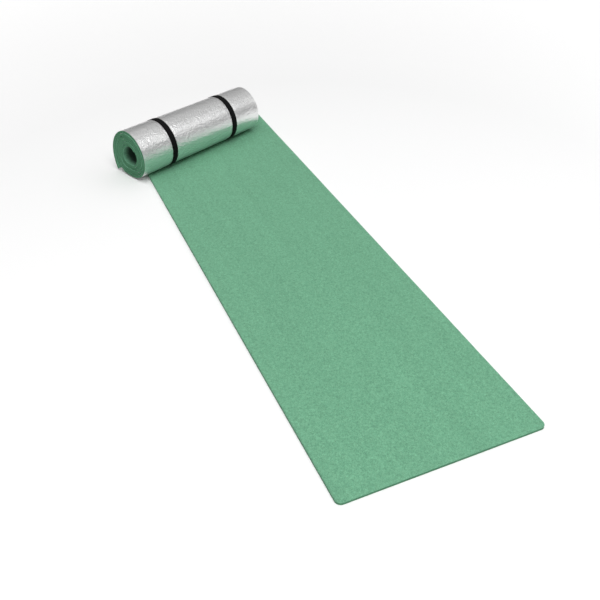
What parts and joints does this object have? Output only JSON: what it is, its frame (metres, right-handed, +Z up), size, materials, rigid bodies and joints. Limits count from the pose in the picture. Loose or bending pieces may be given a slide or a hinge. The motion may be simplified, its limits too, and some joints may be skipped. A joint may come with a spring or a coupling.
{
  "type": "roll-up foam camping mat",
  "caption": "Foil-backed foam sleeping mat laid flat, foam side up, with a matching mat rolled up foil side out, held by elastic bands, lying askew on its far end.",
  "frame": {"origin": "centre of the flat mat's underside, on the surface that it lies on", "axes": "+X across the flat mat, +Y along it towards the end under the rolled mat, +Z up"},
  "size_m": [0.5772, 1.8, 0.1642],
  "materials": {
    "foam": "matte",
    "foil": "satin",
    "elastic": "matte",
    "thread": "matte"
  },
  "bodies": {
    "flat_mat": {"flat_mat_foam": "foam", "flat_mat_foil": "foil"},
    "rolled_mat": {"rolled_mat_foam": "foam", "rolled_mat_foil": "foil"},
    "left_band": {"left_band": "elastic", "left_band_stitching": "thread"},
    "right_band": {"right_band": "elastic", "right_band_stitching": "thread"}
  },
  "joints": [
    {"name": "roll_lift", "type": "slide", "parent": "flat_mat", "child": "rolled_mat", "axis": [0, 0, 1], "range_m": [0, 0.3]},
    {"name": "left_band_slide", "type": "slide", "parent": "rolled_mat", "child": "left_band", "axis": [-0.9272, -0.3746, 0], "range_m": [0, 0.15]},
    {"name": "right_band_slide", "type": "slide", "parent": "rolled_mat", "child": "right_band", "axis": [0.9272, 0.3746, 0], "range_m": [0, 0.135]}
  ]
}
